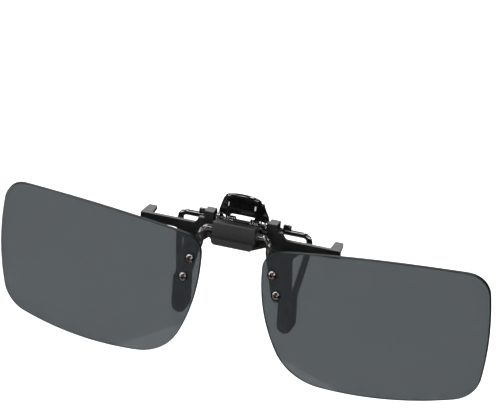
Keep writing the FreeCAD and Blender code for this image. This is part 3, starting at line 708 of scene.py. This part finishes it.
# Middle of the bar from the foot of a leg to the centre, and its half sizes along and across y.
BAR_PATH = (
    (14.3, 1.5, -23.1), (14.95, 1.5, -18.0), (15.55, 1.5, -14.0), (16.2, 2.3, -10.5), (16.95, 3.9, -6.0),
    (17.35, 5.0, -2.6), (17.45, 5.17, -0.9), (17.2, 5.17, 0.45), (16.3, 5.17, 1.17), (15.0, 5.17, 1.25),
    (12.0, 5.17, 1.25), (8.0, 5.17, 1.25), (4.0, 5.17, 1.2), (0.0, 5.17, 1.18),
)
BAR_THICK = (0.5, 0.5, 0.5, 0.52, 0.53, 0.54, 0.54, 0.54, 0.54, 0.54, 0.54, 0.54, 0.54, 0.54)
BAR_WIDE = (1.3, 1.2, 0.95, 0.85, 0.85, 0.85, 0.84, 0.82, 0.8, 0.8, 0.82, 0.85, 0.9, 0.92)
BAR_POWER = 2.1
# Hinge ears and tongues have their corners in y and z, the stops in x and z.
EAR_CORNERS = ((1.3, 2.0), (2.2, 1.4), (4.7, 0.42), (5.65, 0.42), (5.65, 2.0), (4.1, 3.6), (3.6, 4.15),
               (1.7, 4.15))
EAR_ROUNDS = (0.5, 0.5, 0.2, 0.2, 0.5, 0.3, 0.6, 0.9)
EAR_X = (5.92, 6.88)
STOP_CORNERS = ((10.3, 1.8), (12.5, 1.8), (12.5, 3.4), (10.3, 3.4))
STOP_ROUNDS = (0, 0, 0.35, 0.35)
STOP_Y = (4.64, 5.3)
TONGUE_CORNERS = ((3.0, 2.9), (3.6, 2.9), (3.6, 5.1), (3.0, 5.1))
TONGUE_X = (5.72, 6.28)
TONGUE_EDGE = 0.08
JAW_EDGE = 0.14


def build_rear_jaw():
    """Bent bar from one rear pad to the other, with the ears, stops and tongues on it."""
    shape = bmesh.new()
    path = mirror_path(smooth_path(BAR_PATH))
    thick = BAR_THICK + BAR_THICK[-2::-1]
    wide = BAR_WIDE + BAR_WIDE[-2::-1]
    add_bar(shape, path, thick, wide, DEPTHWISE, 32, power=BAR_POWER)
    ear = rounded_outline(EAR_CORNERS, EAR_ROUNDS)
    stop = rounded_outline(STOP_CORNERS, STOP_ROUNDS)
    for sign in (-1, 1):
        add_slab(shape, ear, "x", *EAR_X, JAW_EDGE, sign=sign)
        add_slab(shape, stop, "y", *STOP_Y, JAW_EDGE, sign=sign)
        add_slab(shape, TONGUE_CORNERS, "x", *TONGUE_X, TONGUE_EDGE, sign=sign)
    finish_piece("bent_rear_jaw", shape, "grip_jaw", "gloss_black_steel", ["rear_jaw"])


PIVOT_Y = 2.6
PIVOT_Z = 2.8
COIL_MID = 3.27
COIL_PITCH = 0.62
COIL_TURNS = 4.25
COIL_STEPS = 28
COIL_R = 1.05
COIL_WIRE = 0.24
COIL_LEG_Y = (1.3, 2.0)
# A hint that no stretch of the spring's wire is quite in line with.
COIL_HINT = Vector((1, 0.05, 0.05))


def build_spring(side, sign):
    """Torsion spring: a straight leg on the front jaw, the coil, and a hook over the rear jaw's ear."""
    start = COIL_MID - COIL_PITCH * int(COIL_TURNS) / 2
    path = [Vector((start, y, PIVOT_Z - COIL_R)) for y in COIL_LEG_Y]
    stations = int(COIL_TURNS * COIL_STEPS)
    for station in range(stations + 1):
        angle = 2 * math.pi * COIL_TURNS * station / stations
        path.append(Vector((start + COIL_PITCH * angle / (2 * math.pi), PIVOT_Y + COIL_R * math.sin(angle),
                            PIVOT_Z - COIL_R * math.cos(angle))))
    end = path[-1]
    hook = [end, (end.x + 0.04, 3.6, 3.25), (end.x + 0.18, 3.42, 3.7), (end.x + 0.5, 3.25, 3.95),
            (5.45, 3.2, 4.02), (5.8, 3.25, 3.9)]
    path += smooth_path(hook)[1:]
    shape = bmesh.new()
    add_bar(shape, path, (COIL_WIRE, COIL_WIRE), (COIL_WIRE, COIL_WIRE), COIL_HINT, 12, sign=sign)
    finish_piece(f"{side}_wound_spring", shape, "grip_jaw", "spring_steel", [f"{side}_torsion_spring"])


# ---- thumb grip ---------------------------------------------------------------------------------------

GRIP_COLUMNS = 120
GRIP_ROWS = 44
GRIP_THICK = 0.8
GRIP_RIM = 0.45
# Front face of the grip, y by height: the middle is scooped back at its foot, the sides are upright there,
# and both lean back above the bend. The scoop ends just inside the creases, where the sides turn back.
MIDDLE_FACE = ((4.4, 2.75), (5.2, 2.3), (6.0, 1.78), (6.6, 1.4), (7.0, 1.22), (7.3, 1.24), (8.5, 1.52),
               (10.6, 1.66))
SIDE_FACE = ((3.6, 1.2), (6.8, 1.2), (7.3, 1.24), (8.5, 1.52), (10.6, 1.66))
GRIP_CREASE = 3.64
GRIP_SLOPE = 0.7
CREASE_R = 0.35
SCOOP_MARGIN = 0.45
SCOOP_TURN = 0.5
# Half width by height, the heights of the foot and the top by distance from the middle, and the bead's
# x and z.
GRIP_HALF = ((3.6, 6.85), (5.1, 6.62), (8.0, 5.65), (8.8, 5.42), (10.6, 5.42))
GRIP_FOOT = ((0.0, 4.55), (3.1, 4.5), (3.4, 4.2), (5.2, 4.2), (5.7, 3.6), (6.9, 3.6))
GRIP_TOP = ((0.0, 10.5), (2.2, 10.4), (3.3, 10.2), (4.0, 9.8), (4.5, 9.25), (4.9, 8.95), (5.42, 8.75))
GRIP_BEAD = ((4.42, 9.05), (4.3, 9.4), (3.9, 9.8), (3.2, 10.12), (2.1, 10.3), (0.0, 10.4))
BEAD_R = 0.6


def crease(distance):
    """Distance past a crease, eased over a radius each side of it."""
    if distance <= -CREASE_R:
        return 0.0
    if distance >= CREASE_R:
        return distance
    return (distance + CREASE_R) ** 2 / (4 * CREASE_R)


def grip_face(x, z):
    """y of the grip's front face."""
    turn = ease((abs(x) - GRIP_CREASE + SCOOP_MARGIN) / SCOOP_TURN)
    base = interpolate(MIDDLE_FACE, z) * (1 - turn) + interpolate(SIDE_FACE, z) * turn
    return base + GRIP_SLOPE * crease(abs(x) - GRIP_CREASE)


def grip_spot(row, column):
    """x and z of a point of the grip's grid, whose rows run from the foot to the top."""
    part = -1 + 2 * column / GRIP_COLUMNS
    foot = interpolate(GRIP_FOOT, abs(part) * GRIP_HALF[0][1])
    top = interpolate(GRIP_TOP, abs(part) * GRIP_HALF[-1][1])
    z = foot + (top - foot) * row / GRIP_ROWS
    return part * interpolate(GRIP_HALF, z), z


def add_grip_shell(shape):
    """Shell that follows the grip's face, thinner towards its border."""
    front = []
    back = []
    for row in range(GRIP_ROWS + 1):
        front.append([])
        back.append([])
        for column in range(GRIP_COLUMNS + 1):
            x, z = grip_spot(row, column)
            margin = min(row, GRIP_ROWS - row, column, GRIP_COLUMNS - column) / 2
            thick = GRIP_THICK * (GRIP_RIM + (1 - GRIP_RIM) * math.sqrt(min(1.0, margin)))
            y = grip_face(x, z) + (GRIP_THICK - thick) / 2
            front[-1].append(shape.verts.new(mm(x, y, z)))
            back[-1].append(shape.verts.new(mm(x, y + thick, z)))
    for row in range(GRIP_ROWS):
        for column in range(GRIP_COLUMNS):
            for grid in (front, back):
                shape.faces.new((grid[row][column], grid[row][column + 1], grid[row + 1][column + 1],
                                 grid[row + 1][column]))
    border = [(0, column) for column in range(GRIP_COLUMNS)]
    border += [(row, GRIP_COLUMNS) for row in range(GRIP_ROWS)]
    border += [(GRIP_ROWS, column) for column in range(GRIP_COLUMNS, 0, -1)]
    border += [(row, 0) for row in range(GRIP_ROWS, 0, -1)]
    for (row, column), (next_row, next_column) in zip(border, border[1:] + border[:1]):
        shape.faces.new((front[row][column], front[next_row][next_column], back[next_row][next_column],
                         back[row][column]))


def build_grip():
    """Glossy thumb grip: a creased shell on two feet, with a rolled bead along its arched top."""
    shape = bmesh.new()
    add_grip_shell(shape)
    half = [Vector((x, grip_face(x, z) + GRIP_THICK / 2, z)) for x, z in GRIP_BEAD]
    add_bar(shape, smooth_path(mirror_path(half)), (BEAD_R, BEAD_R), (BEAD_R, BEAD_R), DEPTHWISE, 24)
    finish_piece("glossy_thumb_grip", shape, "grip_jaw", "gloss_black", ["thumb_grip"], sharp_angle=50)


# ---- pads -------------------------------------------------------------------------------------------

PAD_X = 14.3
PAD_FOOT = -23.85
PAD_TOP = -13.45
PAD_HALF = 2.05
PAD_INSET = 0.03
PAD_POWER = 3.6
PAD_SIDES = 36
PAD_STATIONS = 40
# The toe's least height and thickness, and the length of its taper.
TOE_LEAST = 0.02
TOE_THIN = 0.62
TOE_TAPER = 1.2
# The mouth's rounding, and its width and thickness as shares of the pad's.
MOUTH_ROUND = 0.5
MOUTH_WIDE = 0.9
MOUTH_THICK = 0.86
# The waist under the collar: its depth, where it starts and ends below the top, and the length of each
# slope.
WAIST_DEPTH = 0.07
WAIST_START = 0.7
WAIST_START_SLOPE = 0.5
WAIST_END = 2.4
WAIST_END_SLOPE = 0.7
# Each pad's place and body, and the y of its front and back.
PADS = (("front", "clamp", -2.3, 0.0), ("rear", "grip_jaw", 0.35, 2.65))


def build_pad(side, sign, place, body, front, back):
    """Rubber sleeve with a round toe, bulging faces and a collar round its mouth."""
    half_thick = (back - front) / 2 - PAD_INSET
    centre_y = (front + back) / 2
    rings = []
    for station in range(PAD_STATIONS + 1):
        height = (1 - math.cos(math.pi * station / PAD_STATIONS)) / 2
        z = PAD_FOOT + (PAD_TOP - PAD_FOOT) * height
        toe = quarter_round((z - PAD_FOOT) / PAD_HALF, TOE_LEAST)
        taper = TOE_THIN + (1 - TOE_THIN) * min(1.0, (z - PAD_FOOT) / TOE_TAPER)
        mouth = quarter_round((PAD_TOP - z) / MOUTH_ROUND)
        waist = 1 - WAIST_DEPTH * (ease((PAD_TOP - WAIST_START - z) / WAIST_START_SLOPE)
                                   * ease((z - PAD_TOP + WAIST_END) / WAIST_END_SLOPE))
        wide = PAD_HALF * toe * (MOUTH_WIDE + (1 - MOUTH_WIDE) * mouth) * waist
        thick = half_thick * taper * (MOUTH_THICK + (1 - MOUTH_THICK) * mouth) * waist
        rings.append([mm(sign * (PAD_X + across), centre_y + along, z)
                      for across, along in rounded_section(wide, thick, PAD_POWER, PAD_SIDES)])
    shape = bmesh.new()
    add_rings(shape, rings)
    finish_piece(f"{side}_{place}_rubber_pad", shape, body, "pad_rubber", [f"{side}_{place}_pad"])


# ---- assembly ---------------------------------------------------------------------------------------

add_camera()
add_studio()
add_floor()
dress_cad_nodes()
build_hinge_box()
build_rear_jaw()
build_grip()
for side, sign in (("left", -1), ("right", 1)):
    build_lens(side, sign)
    build_bracket(side, sign)
    build_screws(side, sign)
    build_spring(side, sign)
    for pad in PADS:
        build_pad(side, sign, *pad)
